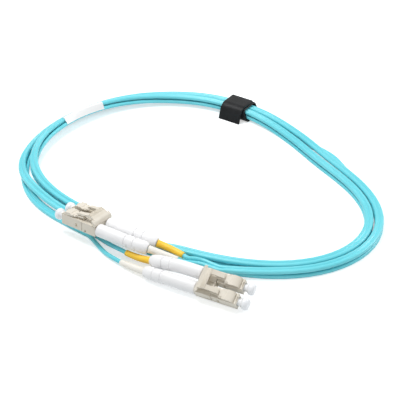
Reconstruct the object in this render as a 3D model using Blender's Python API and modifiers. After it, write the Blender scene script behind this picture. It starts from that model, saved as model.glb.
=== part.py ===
"""Duplex fibre optic patch cord: an aqua zipcord coiled in four passes, held by a
hook-and-loop strap, with a duplex LC connector, boots, sleeves and dust caps at each end.

Metres, +Z up. Driving dimensions below are in millimetres, and MM turns them into metres.
"""

from math import cos, exp, pi, radians, sin, sqrt

import bmesh
import bpy
import numpy as np
from mathutils import Matrix, Vector

MM = 0.001
GAP = 0.2  # clearance kept between touching pieces

# The layout's own frame is moved by this, so that the origin is under the fittings' middle.
SHIFT_X = 17.8
SHIFT_Y = -2.3

# Zipcord: two round strands side by side, joined by a web.
STRAND_D = 1.8
STRAND_PITCH = 1.9
CORD_W = STRAND_PITCH + STRAND_D
LOBE_ANGLES = (-150, -100, -50, 0, 50, 100, 150)

# Coil: loops of one outline, in two columns and two layers.
COIL_X = -3.0
COIL_Y = 16.4
COIL_R = 66.4
COIL_WAVES = ((2, 11.7, -40.0), (3, 4.4, 77.0), (4, 1.2, 54.0), (5, -0.8, 0.0))
COIL_DENTS = ((218.0, 22.0, -3.0), (338.0, 22.0, 2.0), (28.0, 22.0, 1.7))
SWINGS = (  # middle and width, as travel in degrees, and size outward
    (170.0, 15.0, 0.8), (192.0, 14.0, -1.7), (897.0, 13.0, 1.2), (1093.0, 13.0, 3.8),
)
COLUMN = 2.1
LAYER = 1.13
LOOP_POINTS = 30
COIL_START = -78.0
COIL_END = 1303.0
ROLL = -34.0
ROLL_AT = 150.0
ROLL_SPAN = 50.0
FLAT_CUT = 0.1 * STRAND_D
OUTER_TOP = (1, 1)
INNER_TOP = (-1, 1)
INNER_LOW = (-1, -1)
OUTER_LOW = (1, -1)

# Strap round the far side of the coil.
STRAP_AT = 69.6
STRAP_WIDTH = 11.3
STRAP_THICK = 0.7
STRAP_ROOM = 0.8
STRAP_LEAN = (0.4, 0.37, 6.0)  # the ring lies askew: shift along it, and more lower down
STRAP_FOLD = 3.6  # where the tail folds back, outward from the bundle's middle
STRAP_BULGE = 7.1  # how far inward the tail stands off the bundle
STRAP_FOOT = 8.2  # where the tail meets the ground, inward from it

# Label on the inner upper pass.
LABEL_AT = 360.0 + 136.8
LABEL_SPAN = 18.6
LABEL_DROP = 2.63
LABEL_GAP = 0.12
LABEL_FROM = 75.0
LABEL_THICK = 0.16

# Duplex connector: u runs from its front to its back, v across, w up.
PITCH = 6.25
HOUSING = 4.52
HOUSING_L = 10.45
NECK = 3.22
NECK_END = 16.2
CLIP_START = 10.65
CLIP_END = 17.4
CLIP_BORE = 3.62
CLIP_WIDTH = PITCH + HOUSING
CLIP_REAR_TOP = 3.9
AXIS_W = HOUSING / 2
FERRULE_D = 1.25
FERRULE_TIP = -1.6
FERRULE_L = 6.5
BUFFER_D = 0.9
BOOT_START = CLIP_END + GAP
BOOT_END = 40.4
BOOT_D = 5.3
BOOT_BENDS = 22.0  # stiff as far as this, over the crimp
SLEEVE_FRONT = 1.55  # radii
SLEEVE_BACK = 1.28
SLEEVE_L = 12.2
REAR_END = BOOT_END + GAP + SLEEVE_L
LATCH_AXIS = (1.0, 4.75)
TRIGGER_AXIS = (17.0, 4.3)
STEPS = 24
SIDES = ("left", "right")

# Each connector's front-bottom middle, and the way it lies.
A_AT = (-52.8, -20.95, 5.37)
A_TURN = (-35.5, 1.1, -4.7)
B_AT = (16.1, -69.3, 2.87)
B_TURN = (153.55, 1.3, -29.5)

# How far each boot, and then each sleeve, has bent by its end: slopes to v and to w.
A_BENDS = (((0.33, -0.175), (0.015, -0.07)), ((0.27, -0.185), (-0.34, 0.095)))
B_BENDS = (((0.05, -0.315), (-0.175, 0.395)), ((-0.04, -0.2), (-0.155, 0.01)))

AQUA = (0.13, 0.62, 0.72)
BEIGE = (0.62, 0.57, 0.46)
WHITE = (0.85, 0.85, 0.86)
YELLOW = (0.95, 0.55, 0.05)
IVORY = (0.84, 0.84, 0.78)
BLACK = (0.02, 0.022, 0.026)
CERAMIC = (0.9, 0.88, 0.85)
METAL = (0.72, 0.70, 0.66)


def clear_scene():
    for obj in list(bpy.data.objects):
        bpy.data.objects.remove(obj)


def new_collection(name, hidden=False):
    made = bpy.data.collections.new(name)
    bpy.context.scene.collection.children.link(made)
    made.hide_render = hidden
    return made


clear_scene()
PARTS = new_collection("fiber_optic_patch_cord")
CUTTERS = new_collection("cutters", hidden=True)


def paint(obj, colour, roughness=0.45, metallic=0.0):
    material = bpy.data.materials.new(obj.name)
    material.use_nodes = True
    shader = material.node_tree.nodes["Principled BSDF"]
    shader.inputs["Base Color"].default_value = (*colour, 1.0)
    shader.inputs["Roughness"].default_value = roughness
    shader.inputs["Metallic"].default_value = metallic
    obj.data.materials.clear()
    obj.data.materials.append(material)


def keep(obj, parent, colour=None, roughness=0.45, metallic=0.0):
    """Puts an object among the parts or, without a colour, among the cutters."""
    if colour is None:
        CUTTERS.objects.link(obj)
        obj.hide_render = True
        obj.display_type = "WIRE"
    else:
        PARTS.objects.link(obj)
        paint(obj, colour, roughness, metallic)
    obj.parent = parent
    return obj


def boolean(obj, other, operation="DIFFERENCE"):
    modifier = obj.modifiers.new(other.name, "BOOLEAN")
    modifier.operation = operation
    modifier.object = other
    modifier.solver = "EXACT"
    return obj


def pivot(obj, place, parent):
    """An empty on a joint's axis, which carries the piece that turns about it."""
    axis = bpy.data.objects.new(obj.name + "_axis", None)
    PARTS.objects.link(axis)
    axis.parent = parent
    axis.location = Vector(place) * MM
    obj.parent = axis
    obj.matrix_parent_inverse = Matrix.Translation(-axis.location)
    return obj


def block(name, u, v, w, parent, chamfer=0.0, **look):
    """A box between the given pairs of limits."""
    mesh = bpy.data.meshes.new(name)
    shape = bmesh.new()
    bmesh.ops.create_cube(shape, size=1.0)
    size = [(b - a) * MM for a, b in (u, v, w)]
    bmesh.ops.scale(shape, vec=size, verts=shape.verts)
    shape.to_mesh(mesh)
    shape.free()
    obj = keep(bpy.data.objects.new(name, mesh), parent, **look)
    obj.location = [(a + b) / 2 * MM for a, b in (u, v, w)]
    if chamfer:
        bevel = obj.modifiers.new("edges", "BEVEL")
        bevel.width = chamfer * MM
        bevel.segments = 2
    return obj


def turned(name, outline, v, parent, w=AXIS_W, steps=STEPS, **look):
    """A turned piece about the line along u at (v, w), from a closed outline of (radius, u)
    points that runs down its outer side."""
    mesh = bpy.data.meshes.new(name)
    shape = bmesh.new()
    points = [shape.verts.new((r * MM, 0.0, u * MM)) for r, u in outline]
    for first, second in zip(points, points[1:]):
        shape.edges.new((first, second))
    if outline[0][0] > 0 and outline[-1][0] > 0:
        shape.edges.new((points[-1], points[0]))
    shape.to_mesh(mesh)
    shape.free()
    obj = keep(bpy.data.objects.new(name, mesh), parent, **look)
    obj.location = (0.0, v * MM, w * MM)
    obj.rotation_euler = (0.0, pi / 2, 0.0)
    screw = obj.modifiers.new("turn", "SCREW")
    screw.steps = steps
    screw.render_steps = steps
    screw.use_merge_vertices = True
    screw.merge_threshold = 0.00001
    return obj


def rod(name, radius, start, end, v, parent, bore=0.0, steps=STEPS, edge=0.0, **look):
    """A round bar, or a tube where it has a bore, between two u positions."""
    inner = [(bore, start), (bore, end)] if bore else [(0.0, start), (0.0, end)]
    outer = [
        (radius - edge, end),
        (radius, end - edge),
        (radius, start + edge),
        (radius - edge, start),
    ]
    if not edge:
        outer = [(radius, end), (radius, start)]
    if bore:
        outline = outer + inner
    else:
        outline = [(0.0, end)] + outer + [(0.0, start)]
    return turned(name, outline, v, parent, steps=steps, **look)


def bent_line(v, bend):
    """The middle of a boot and its sleeve: straight over the crimp, then bending more and more."""
    boot_bend, sleeve_bend = (np.array(b) for b in bend)
    step = 0.4
    point = np.array([BOOT_START, v, AXIS_W])
    line = [point]
    while BOOT_START + step * (len(line) - 1) < REAR_END + 3.0:
        run = BOOT_START + step * (len(line) - 1)
        slope = boot_bend * min(max((run - BOOT_BENDS) / (BOOT_END - BOOT_BENDS), 0.0), 1.0)
        slope = slope + sleeve_bend * min(max((run - BOOT_END) / SLEEVE_L, 0.0), 1.0)
        ahead = np.array([1.0, *slope])
        point = point + step * ahead / np.linalg.norm(ahead)
        line.append(point)
    return np.array(line), step


def along(line, run):
    """The point of a bent line at a run from the connector's front, and its direction there."""
    points, step = line
    place = (run - BOOT_START) / step
    i = int(min(max(place, 0), len(points) - 2))
    ahead = points[i + 1] - points[i]
    return points[i] + (place - i) * ahead, ahead / np.linalg.norm(ahead)


def lathe(name, outline, line, parent, steps, **look):
    """A round piece about a bent line, from a closed outline of (radius, run) points."""
    shape = bmesh.new()
    rings = []
    for radius, run in outline:
        middle, ahead = along(line, run)
        across = np.array([0.0, 1.0, 0.0]) - ahead * ahead[1]
        across /= np.linalg.norm(across)
        up = np.cross(ahead, across)
        ring = []
        for i in range(steps):
            turn = 2 * pi * i / steps
            at = middle + radius * (cos(turn) * across + sin(turn) * up)
            ring.append(shape.verts.new(at * MM))
        rings.append(ring)
    for ring, following in zip(rings, rings[1:] + rings[:1]):
        for i in range(steps):
            j = (i + 1) % steps
            shape.faces.new((ring[i], ring[j], following[j], following[i]))
    bmesh.ops.recalc_face_normals(shape, faces=shape.faces)
    mesh = bpy.data.meshes.new(name)
    shape.to_mesh(mesh)
    shape.free()
    return keep(bpy.data.objects.new(name, mesh), parent, **look)


def curve_mesh(obj):
    """The mesh of a curve object, with its caps welded on, in place of the curve."""
    bpy.context.scene.collection.objects.link(obj)
    bpy.context.view_layer.update()
    evaluated = obj.evaluated_get(bpy.context.evaluated_depsgraph_get())
    mesh = bpy.data.meshes.new_from_object(evaluated)
    shape = bmesh.new()
    shape.from_mesh(mesh)
    bmesh.ops.remove_doubles(shape, verts=shape.verts, dist=1e-6)
    shape.to_mesh(mesh)
    shape.free()
    name = obj.name
    bpy.data.objects.remove(obj)
    return bpy.data.objects.new(name, mesh)


def flat_curve(name, outlines, thick):
    """A 2D curve of closed outlines (holes after the first), extruded to its thickness."""
    curve = bpy.data.curves.new(name, "CURVE")
    curve.dimensions = "2D"
    curve.fill_mode = "BOTH"
    curve.extrude = thick / 2 * MM
    for outline in outlines:
        spline = curve.splines.new("POLY")
        spline.points.add(len(outline) - 1)
        for point, (x, y) in zip(spline.points, outline):
            point.co = (x * MM, y * MM, 0.0, 1.0)
        spline.use_cyclic_u = True
    return bpy.data.objects.new(name, curve)


def side_profile(name, outline, v, parent, **look):
    """A piece of one (u, w) outline, extruded across between two v positions."""
    obj = curve_mesh(flat_curve(name, [outline], v[1] - v[0]))
    keep(obj, parent, **look)
    obj.location = (0.0, (v[0] + v[1]) / 2 * MM, 0.0)
    obj.rotation_euler = (pi / 2, 0.0, 0.0)
    return obj


def swept(name, section, points, tilts):
    """A closed section swept along points, in metres, turned by its tilt at each."""
    profile = bpy.data.curves.new(name + "_section", "CURVE")
    profile.dimensions = "2D"
    line = profile.splines.new("POLY")
    line.points.add(len(section) - 1)
    for point, (x, y) in zip(line.points, section):
        point.co = (x * MM, y * MM, 0.0, 1.0)
    line.use_cyclic_u = True
    guide = bpy.data.objects.new(name + "_section", profile)
    CUTTERS.objects.link(guide)
    guide.hide_render = True

    curve = bpy.data.curves.new(name, "CURVE")
    curve.dimensions = "3D"
    curve.twist_mode = "Z_UP"
    curve.bevel_mode = "OBJECT"
    curve.bevel_object = guide
    curve.use_fill_caps = True
    spline = curve.splines.new("POLY")
    spline.points.add(len(points) - 1)
    for point, at, tilt in zip(spline.points, points, tilts):
        point.co = (*at, 1.0)
        point.tilt = tilt
    return curve_mesh(bpy.data.objects.new(name, curve))


def tube(name, points, diameter, sides=2):
    """A round tube with filled caps along points in millimetres."""
    curve = bpy.data.curves.new(name, "CURVE")
    curve.dimensions = "3D"
    curve.bevel_depth = diameter / 2 * MM
    curve.bevel_resolution = sides
    curve.use_fill_caps = True
    spline = curve.splines.new("POLY")
    spline.points.add(len(points) - 1)
    for point, at in zip(spline.points, points):
        point.co = (*(c * MM for c in at), 1.0)
    return bpy.data.objects.new(name, curve)


# ---------------------------------------------------------------- the coil's route


def bump(angle, middle, width):
    away = (angle - middle + 180.0) % 360.0 - 180.0
    return exp(-((away / width) ** 2))


def ease(angle, start, end):
    t = min(max((angle - start) / (end - start), 0.0), 1.0)
    return t * t * (3.0 - 2.0 * t)


def outline_radius(angle):
    waves = sum(size * cos(count * radians(angle - turn)) for count, size, turn in COIL_WAVES)
    dents = sum(size * bump(angle, middle, width) for middle, width, size in COIL_DENTS)
    return COIL_R + waves + dents


def outline_point(angle):
    r = outline_radius(angle)
    return np.array([COIL_X + r * cos(radians(angle)), COIL_Y + r * sin(radians(angle))])


def outward(angle):
    step = outline_point(angle + 0.5) - outline_point(angle - 0.5)
    step /= np.linalg.norm(step)
    return np.array([step[1], -step[0]])


def column(angle):
    """Half the distance between the two columns: they part a little on the left."""
    return COLUMN + 1.2 * bump(angle, 192.0, 22.0) + 0.3 * bump(angle, 24.0, 25.0)


def roll(angle):
    """The bundle leans on the far left, with its inner side up."""
    return radians(ROLL) * bump(angle, ROLL_AT, ROLL_SPAN)


def strap_lift(angle):
    away = abs((angle - STRAP_AT + 180.0) % 360.0 - 180.0)
    return (STRAP_THICK + GAP + FLAT_CUT) * (1.0 - ease(away, 8.0, 36.0))


def cell(travel):
    """Where in the bundle the cord lies: column and layer, each from -1 to 1."""
    steps = ((OUTER_TOP, 243.0, 265.0), (INNER_TOP, 582.0, 603.0), (INNER_LOW, 922.0, 942.0))
    after = (INNER_TOP, INNER_LOW, OUTER_LOW)
    place = np.array(OUTER_TOP, float)
    for (before, start, end), then in zip(steps, after):
        share = ease(travel, start, end)
        place = place + share * (np.array(then, float) - np.array(before, float))
    return place


def swing(travel):
    """How far a pass lies outward of its place in the bundle, along the bundle's width."""
    return sum(size * exp(-(((travel - at) / width) ** 2)) for at, width, size in SWINGS)


def stray(travel):
    """How far the cord's two ends stand off the bundle, outward."""
    return 3.6 * (1.0 - ease(travel, -92.0, -62.0)) + 4.9 * ease(travel, 1254.0, 1314.0)


def ride_over(travel):
    """The first pass rises a little where the last one leaves the bundle under it."""
    return 0.75 * bump(travel, 196.0, 15.0) * (travel < 270.0)


def cord_frame(travel):
    """The cord's middle, in millimetres, and its roll, at a travel angle in degrees."""
    angle = travel % 360.0
    lean = roll(angle)
    across, up = cell(travel)
    a = across * column(angle) + swing(travel)
    b = up * LAYER
    half_width = column(angle) + CORD_W / 2
    half_height = LAYER + STRAND_D / 2
    middle = half_width * abs(sin(lean)) + half_height * cos(lean)
    middle += strap_lift(angle) - FLAT_CUT
    off = a * cos(lean) - b * sin(lean) + stray(travel)
    height = middle + a * sin(lean) + b * cos(lean) + ride_over(travel)
    flat = outline_point(angle) + outward(angle) * off
    return np.array([flat[0] + SHIFT_X, flat[1] + SHIFT_Y, height]), lean


def lobes():
    """The zipcord's section, as a figure of eight."""
    points = []
    for side in (1, -1):
        for angle in LOBE_ANGLES:
            turn = radians(angle)
            x = side * (STRAND_PITCH / 2 + STRAND_D / 2 * cos(turn))
            points.append((x, side * STRAND_D / 2 * sin(turn)))
    return points[::-1]


def coil_travels():
    count = round((COIL_END - COIL_START) / 360.0 * LOOP_POINTS)
    step = 360.0 / LOOP_POINTS
    inner = [COIL_START + step * i for i in range(count)]
    return inner + [COIL_END]


def section_points(travel):
    """The section's points in space, in millimetres, at one travel angle."""
    middle, lean = cord_frame(travel)
    n = outward(travel % 360.0)
    side = np.array([n[0] * cos(lean), n[1] * cos(lean), sin(lean)])
    top = np.array([-n[0] * sin(lean), -n[1] * sin(lean), cos(lean)])
    return np.array([middle + x * side + y * top for x, y in lobes()])


def least_self_gap():
    """The least distance between neighbouring passes, measured on points of the cord."""
    least = 99.0
    step = 3.0
    travels = np.arange(COIL_START, COIL_END, step)
    rings = {i: section_points(t) for i, t in enumerate(travels)}
    turn = round(360.0 / step)
    for i, ring in rings.items():
        for passes in (1, 2, 3):
            for near in range(i + passes * turn - 4, i + passes * turn + 5):
                if near not in rings:
                    continue
                apart = rings[near][:, None, :] - ring[None, :, :]
                least = min(least, float(np.sqrt((apart**2).sum(-1)).min()))
    return least


def build_coil():
    travels = coil_travels()
    frames = [cord_frame(t) for t in travels]
    points = [tuple(at * MM) for at, lean in frames]
    tilts = [-lean for at, lean in frames]
    coil = swept("zipcord_coil", lobes(), points, tilts)
    keep(coil, None, colour=AQUA, roughness=0.4)
    floor = block("floor_cut", (-150, 150), (-150, 150), (-9, 0), None)
    boolean(coil, floor)
    length = sum(
        float(np.linalg.norm(b[0] - a[0])) for a, b in zip(frames, frames[1:])
    )
    print(f"zipcord length {length:.0f} mm, least gap to itself {least_self_gap():.2f} mm")
    return coil


# ---------------------------------------------------------------- connectors


def housing(prefix, side, v, root):
    half = HOUSING / 2
    name = f"{prefix}_housing_{side}"
    body = block(
        name, (0.0, HOUSING_L), (v - half, v + half), (0.0, HOUSING), root,
        chamfer=0.18, colour=BEIGE,
    )
    neck = block(
        f"{name}_neck",
        (HOUSING_L - 1.0, NECK_END),
        (v - NECK / 2, v + NECK / 2),
        (AXIS_W - NECK / 2, AXIS_W + NECK / 2),
        root,
    )
    boolean(body, neck, "UNION")
    bore = [
        (0.0, NECK_END + 1),
        (1.2, NECK_END + 1),
        (1.2, 11.5),
        (1.45, 11.5),
        (1.45, 3.6),
        (0.83, 3.6),
        (0.83, 3.2),
        (1.65, 3.2),
        (1.65, -1.0),
        (0.0, -1.0),
    ]
    boolean(body, turned(f"{name}_bore", bore, v, root))
    notch = block(f"{name}_notch", (-1.0, 0.9), (v - 1.3, v + 1.3), (3.0, 5.0), root)
    boolean(body, notch)
    window = rod_across(f"{name}_window", 0.5, (v - half - 1, v - half + 0.5), 7.6, 1.9, root)
    boolean(body, window)
    window = rod_across(f"{name}_window_2", 0.5, (v + half - 0.5, v + half + 1), 7.6, 1.9, root)
    boolean(body, window)
    return body


def rod_across(name, radius, v, u, w, root):
    """A round cutter that runs across the connector."""
    mesh = bpy.data.meshes.new(name)
    shape = bmesh.new()
    bmesh.ops.create_cone(
        shape, cap_ends=True, segments=16,
        radius1=radius * MM, radius2=radius * MM, depth=(v[1] - v[0]) * MM,
    )
    shape.to_mesh(mesh)
    shape.free()
    obj = keep(bpy.data.objects.new(name, mesh), root)
    obj.location = (u * MM, (v[0] + v[1]) / 2 * MM, w * MM)
    obj.rotation_euler = (pi / 2, 0.0, 0.0)
    return obj


def latch(prefix, side, v, root):
    """The spring latch: rooted at the housing's front, free at its back."""
    name = f"{prefix}_latch_{side}"
    head = [(5.8, 4.95), (5.8, 5.75), (4.6, 5.75), (4.4, 6.15), (1.9, 5.95), (1.5, 5.5)]
    head += [(1.0, 5.1), (1.0, 4.75), (3.2, 4.78)]
    body = side_profile(name, head, (v - 2.1, v + 2.1), root, colour=BEIGE)
    arm = [(4.0, 4.84), (7.3, 5.08), (10.8, 5.5), (10.8, 5.95), (10.3, 6.05), (7.2, 5.8)]
    arm += [(4.0, 5.7)]
    boolean(body, side_profile(f"{name}_arm", arm, (v - 1.35, v + 1.35), root), "UNION")
    ear = [(5.9, 5.05), (7.2, 5.12), (7.2, 5.75), (5.9, 5.65)]
    ears = side_profile(f"{name}_ears", ear, (v - 1.95, v + 1.95), root)
    boolean(body, ears, "UNION")
    return pivot(body, (LATCH_AXIS[0], v, LATCH_AXIS[1]), root)


def trigger(prefix, root):
    """The sprung tab over both latches: rooted at the clip's back, its fingers on the latches."""
    ribs = []
    for i in range(5):
        u = 12.9 + i * 0.36
        w = 8.24 - (u - 11.9) * 0.24
        ribs += [(u, w), (u + 0.08, w + 0.11), (u + 0.2, w + 0.08), (u + 0.28, w - 0.08)]
    slab = [(7.3, 6.25), (10.2, 6.3), (11.4, 6.9), (13.4, 6.9), (15.4, 5.9), (16.1, 5.6)]
    slab += [(16.5, 6.2), (16.2, 6.6), (14.8, 7.5)] + ribs[::-1]
    slab += [(12.75, 8.04), (12.7, 7.7), (10.8, 7.3), (8.4, 7.08), (7.5, 6.8)]
    body = side_profile(f"{prefix}_trigger", slab, (-4.2, 4.2), root, colour=BEIGE)
    web = [(15.4, 6.2), (16.2, 5.5), (16.6, 4.25), (17.3, 4.25), (17.25, 5.2), (16.5, 6.3), (15.7, 6.7)]
    half = CLIP_WIDTH / 2
    boolean(body, side_profile(f"{prefix}_web", web, (-half, half), root), "UNION")
    window = block(f"{prefix}_fingers", (7.0, 13.3), (-2.3, 2.3), (6.0, 7.7), root)
    boolean(body, window)
    return pivot(body, (TRIGGER_AXIS[0], 0.0, TRIGGER_AXIS[1]), root)


def clip(prefix, root):
    """The shell that holds both housings side by side."""
    half = CLIP_WIDTH / 2
    name = f"{prefix}_duplex_clip"
    body = block(
        name, (CLIP_START, CLIP_END), (-half, half), (0.0, HOUSING), root,
        chamfer=0.18, colour=BEIGE,
    )
    slope = [(15.4, 5.0), (15.4, HOUSING + 0.1), (CLIP_END + 0.5, CLIP_REAR_TOP - 0.2)]
    slope += [(CLIP_END + 0.5, 5.0)]
    boolean(body, side_profile(f"{name}_slope", slope, (-half - 1, half + 1), root))
    for i, v in enumerate((-PITCH / 2, PITCH / 2)):
        bore = CLIP_BORE / 2
        socket = block(
            f"{name}_socket_{i}",
            (CLIP_START - 1, NECK_END + GAP),
            (v - bore, v + bore),
            (AXIS_W - bore, AXIS_W + bore),
            root,
        )
        boolean(body, socket)
        boolean(body, rod(f"{name}_hole_{i}", 1.3, NECK_END - 0.5, CLIP_END + 1, v, root))
    return body


def boot(prefix, side, line, root):
    """The strain relief: round, with two pairs of shallow rings, over the crimp."""
    r = BOOT_D / 2
    length = BOOT_END - BOOT_START
    outer = [(1.2, BOOT_END), (2.1, BOOT_END), (2.4, BOOT_END - 0.3), (r - 0.05, BOOT_END - 1.6)]
    for share in (0.8, 0.74, 0.64, 0.58):
        middle = BOOT_START + share * length
        outer += [(r, middle + 0.4), (r - 0.28, middle + 0.18)]
        outer += [(r - 0.28, middle - 0.18), (r, middle - 0.4)]
    outer += [(r, 28.0), (r, 24.5), (r, BOOT_START + 0.4), (r - 0.35, BOOT_START)]
    inner = [(1.85, BOOT_START), (1.85, 24.6), (1.2, 25.2), (1.2, 29.0), (1.2, 33.0), (1.2, 37.0)]
    name = f"{prefix}_boot_{side}"
    return lathe(name, outer + inner, line, root, 16, colour=WHITE, roughness=0.5)


def id_sleeve(prefix, side, line, colour, root):
    """The coloured sleeve that tells the fibres apart, shrunk on behind the boot."""
    start = BOOT_END + GAP
    runs = [start + SLEEVE_L * i / 4 for i in range(5)]
    taper = (SLEEVE_BACK - SLEEVE_FRONT) / 4
    outline = [(SLEEVE_FRONT + taper * i, run) for i, run in enumerate(runs)]
    outline += [(1.12, run) for run in runs[::-1]]
    name = f"{prefix}_id_sleeve_{side}"
    return lathe(name, outline, line, root, 14, colour=colour)


def dust_cap(prefix, side, v, root):
    """The cap over the ferrule: a round head, a waist, and a neck in the housing's mouth."""
    outline = [
        (0.83, 2.9),
        (1.42, 2.9),
        (1.45, 0.4),
        (1.5, -0.9),
        (1.75, -1.7),
        (2.3, -2.1),
        (2.38, -2.7),
        (2.3, -3.5),
        (2.0, -4.0),
        (1.4, -4.15),
        (0.0, -4.2),
        (0.0, -1.95),
        (0.83, -1.95),
    ]
    name = f"{prefix}_dust_cap_{side}"
    return turned(name, outline, v, root, steps=18, colour=WHITE, roughness=0.4)


def spring(prefix, side, v, root):
    """The spring that presses the ferrule forward, round the buffered fibre."""
    turns = 5
    per_turn = 8
    start, end = 6.8, 11.2
    points = []
    for i in range(turns * per_turn + 1):
        t = i / (turns * per_turn)
        turn = 2 * pi * turns * t
        points.append((start + (end - start) * t, 1.02 * cos(turn), 1.02 * sin(turn)))
    obj = tube(f"{prefix}_spring_{side}", points, 0.32, sides=0)
    keep(obj, root, colour=METAL, roughness=0.3, metallic=1.0)
    obj.location = (0.0, v * MM, AXIS_W * MM)
    return obj


def unit(prefix, side, v, bend, sleeve_colour, root):
    """One fibre's half of the duplex connector."""
    housing(prefix, side, v, root)
    latch(prefix, side, v, root)
    back = FERRULE_TIP + FERRULE_L
    r = FERRULE_D / 2
    rod(
        f"{prefix}_ferrule_{side}", r, FERRULE_TIP, back, v, root,
        edge=0.12, steps=16, colour=CERAMIC, roughness=0.2,
    )
    flange = [(0.65, 6.4), (1.2, 6.4), (1.2, 3.8), (r + GAP, 3.8), (r + GAP, 5.1), (0.65, 5.1)]
    name = f"{prefix}_ferrule_flange_{side}"
    turned(name, flange, v, root, steps=16, colour=METAL, roughness=0.35, metallic=1.0)
    spring(prefix, side, v, root)
    rod(
        f"{prefix}_buffered_fibre_{side}", BUFFER_D / 2, back + GAP, 18.3, v, root,
        steps=12, colour=WHITE,
    )
    rod(
        f"{prefix}_rear_body_{side}", 1.0, 11.4, 19.0, v, root,
        bore=0.65, steps=16, colour=METAL, roughness=0.35, metallic=1.0,
    )
    rod(
        f"{prefix}_crimp_sleeve_{side}", 1.6, 17.8, 24.0, v, root,
        bore=1.2, steps=16, colour=METAL, roughness=0.35, metallic=1.0,
    )
    line = bent_line(v, bend)
    boot(prefix, side, line, root)
    id_sleeve(prefix, side, line, sleeve_colour, root)
    dust_cap(prefix, side, v, root)


def connector(prefix, at, turn, bends, sleeves):
    """Both halves, the clip and the trigger, under an empty that sets where they lie."""
    root = bpy.data.objects.new(f"{prefix}_place", None)
    PARTS.objects.link(root)
    heading, pitch, lean = (radians(t) for t in turn)
    place = Matrix.Rotation(heading, 4, "Z") @ Matrix.Rotation(-pitch, 4, "Y")
    place = place @ Matrix.Rotation(lean, 4, "X")
    place.translation = Vector(((at[0] + SHIFT_X) * MM, (at[1] + SHIFT_Y) * MM, at[2] * MM))
    root.matrix_world = place
    for side, v, bend, colour in zip(SIDES, (-PITCH / 2, PITCH / 2), bends, sleeves):
        unit(prefix, side, v, bend, colour, root)
    clip(prefix, root)
    trigger(prefix, root)
    return place


# ---------------------------------------------------------------- legs


def smooth_route(knots, count):
    """Points along a smooth curve through the knots, by length, centripetal in its pace."""
    knots = [np.array(k, float) for k in knots]
    knots = [2 * knots[0] - knots[1]] + knots + [2 * knots[-1] - knots[-2]]
    dense = []
    for p0, p1, p2, p3 in zip(knots, knots[1:], knots[2:], knots[3:]):
        t1 = sqrt(np.linalg.norm(p1 - p0))
        t2 = t1 + sqrt(np.linalg.norm(p2 - p1))
        t3 = t2 + sqrt(np.linalg.norm(p3 - p2))
        for t in np.linspace(t1, t2, 24, endpoint=False):
            a1 = (t1 - t) / t1 * p0 + t / t1 * p1
            a2 = ((t2 - t) * p1 + (t - t1) * p2) / (t2 - t1)
            a3 = ((t3 - t) * p2 + (t - t2) * p3) / (t3 - t2)
            b1 = ((t2 - t) * a1 + t * a2) / t2
            b2 = ((t3 - t) * a2 + (t - t1) * a3) / (t3 - t1)
            dense.append(((t2 - t) * b1 + (t - t1) * b2) / (t2 - t1))
    dense.append(knots[-2])
    dense = np.array(dense)
    runs = np.concatenate([[0.0], np.cumsum(np.linalg.norm(np.diff(dense, axis=0), axis=1))])
    even = np.linspace(0.0, runs[-1], count)
    return np.array([np.interp(even, runs, dense[:, i]) for i in range(3)]).T, runs[-1]


def leg(name, place, v, bend, travel, forward, side, knots):
    """One strand from its crimp, through boot and sleeve, to the zipcord's split end."""
    line = bent_line(v, bend)
    route = []
    for run in (19.4, 23.0, 27.0, 31.0, 35.0, 39.0, 43.0, 47.0, 50.0, REAR_END, REAR_END + 2.0):
        at = along(line, run)[0]
        route.append(np.array(place @ Vector(at * MM)) / MM)
    middle, lean = cord_frame(travel)
    n = outward(travel % 360.0)
    across = np.array([n[0] * cos(lean), n[1] * cos(lean), sin(lean)])
    end = middle + across * side * STRAND_PITCH / 2
    end[2] = max(end[2], STRAND_D / 2 + 0.05)
    ahead = cord_frame(travel + forward)[0] - middle
    ahead /= np.linalg.norm(ahead)
    route += [np.array([x + SHIFT_X, y + SHIFT_Y, z]) for x, y, z in knots]
    route += [end + ahead * (0.3 + STRAND_D), end + ahead * 0.3]
    points, length = smooth_route(route, 26)
    obj = tube(name, points, STRAND_D)
    keep(obj, None, colour=AQUA, roughness=0.4)
    print(f"{name} length {length:.1f} mm")
    return obj


# ---------------------------------------------------------------- strap and label


def rounded(width, height, radius, centre=(0.0, 0.0), steps=4):
    points = []
    for i, (sx, sy) in enumerate(((1, 1), (-1, 1), (-1, -1), (1, -1))):
        for step in range(steps + 1):
            turn = radians(90.0 * (i + step / steps))
            x = centre[0] + sx * (width / 2 - radius) + radius * cos(turn)
            y = centre[1] + sy * (height / 2 - radius) + radius * sin(turn)
            points.append((x, y))
    return points


def strap_place():
    n = outward(STRAP_AT)
    at = outline_point(STRAP_AT)
    across = Vector((n[0], n[1], 0.0))
    up = Vector((0.0, 0.0, 1.0))
    along = across.cross(up)
    place = Matrix((across, up, along)).transposed().to_4x4()
    place.translation = Vector(((at[0] + SHIFT_X) * MM, (at[1] + SHIFT_Y) * MM, 0.0))
    return place


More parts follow.
